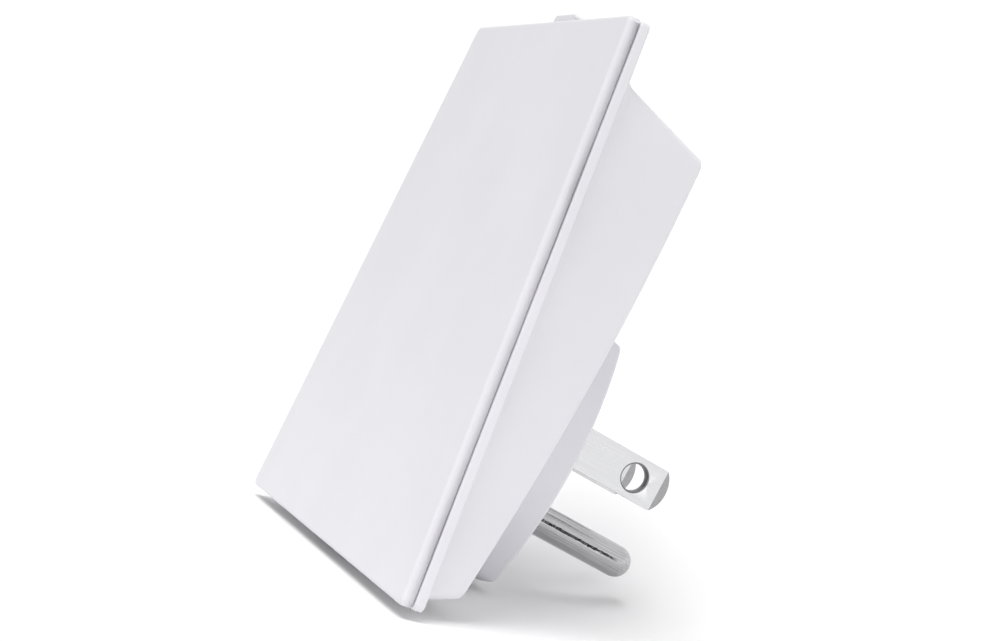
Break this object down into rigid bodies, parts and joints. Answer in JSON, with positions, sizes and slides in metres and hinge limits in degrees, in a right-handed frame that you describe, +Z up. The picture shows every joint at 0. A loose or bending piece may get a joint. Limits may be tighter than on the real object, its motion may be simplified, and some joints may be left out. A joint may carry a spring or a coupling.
{
  "type": "smart plug",
  "caption": "Plug-in smart home module: blank white front cover on a wedge-shaped housing, push button on its top edge, grounded three-prong plug behind.",
  "frame": {"origin": "centre of the boss's flat face that seats on the wall outlet", "axes": "+Y into the wall along the prongs, +Z up, +X to the right as seen from the front"},
  "size_m": [0.0838, 0.0518, 0.0821],
  "materials": {
    "shell": "satin, cool off-white",
    "button": "satin, cool off-white",
    "prongs": "bright nickel plating",
    "screws": "zinc-plated",
    "carrier": "natural nylon",
    "board": "green solder mask on glass-epoxy",
    "chip": "black moulded epoxy",
    "ferrite": "dark grey ferrite",
    "winding": "yellow winding tape",
    "sleeve": "dark blue shrink sleeve",
    "varistor": "blue epoxy-coated disc",
    "film": "yellow moulded box",
    "fuse": "pale ceramic tube",
    "tin": "tinned sheet",
    "lead_black": "black insulation",
    "lead_white": "white insulation",
    "lead_green": "green insulation"
  },
  "bodies": {
    "casing": {"front_cover": "shell", "rear_housing": "shell", "neutral_blade": "prongs", "line_blade": "prongs", "ground_pin": "prongs", "blade_carrier": "carrier", "blade_clamp": "carrier", "clamp_screw_left": "screws", "clamp_screw_right": "screws", "cover_screw_top_left": "screws", "cover_screw_top_right": "screws", "cover_screw_bottom_left": "screws", "cover_screw_bottom_right": "screws", "main_board": "board", "radio_board": "board", "tact_switch": "chip", "bulk_capacitor_left": "sleeve", "bulk_capacitor_right": "sleeve", "output_capacitor": "sleeve", "transformer_core": "ferrite", "transformer_bobbin": "winding", "line_choke": "ferrite", "film_capacitor": "film", "supply_controller": "chip", "varistor": "varistor", "bridge_rectifier": "chip", "fuse": "fuse", "radio_chip": "chip", "radio_shield": "tin", "antenna": "tin", "neutral_lead": "lead_white", "line_lead": "lead_black", "ground_lead": "lead_green"},
    "button": {"top_button": "button"},
    "plunger": {"tact_plunger": "carrier"}
  },
  "joints": [
    {"name": "button_press", "type": "slide", "parent": "casing", "child": "button", "axis": [0, -0.0872, 0.9962], "range_m": [-0.0005, 0], "stiffness_N_per_m": 250, "springref_m": 0.003},
    {"name": "plunger_press", "type": "slide", "parent": "casing", "child": "plunger", "axis": [0, -0.0872, 0.9962], "range_m": [-0.0005, 0]}
  ],
  "couplings": [
    {"joint": "plunger_press", "follows": "button_press", "ratio": 1}
  ]
}
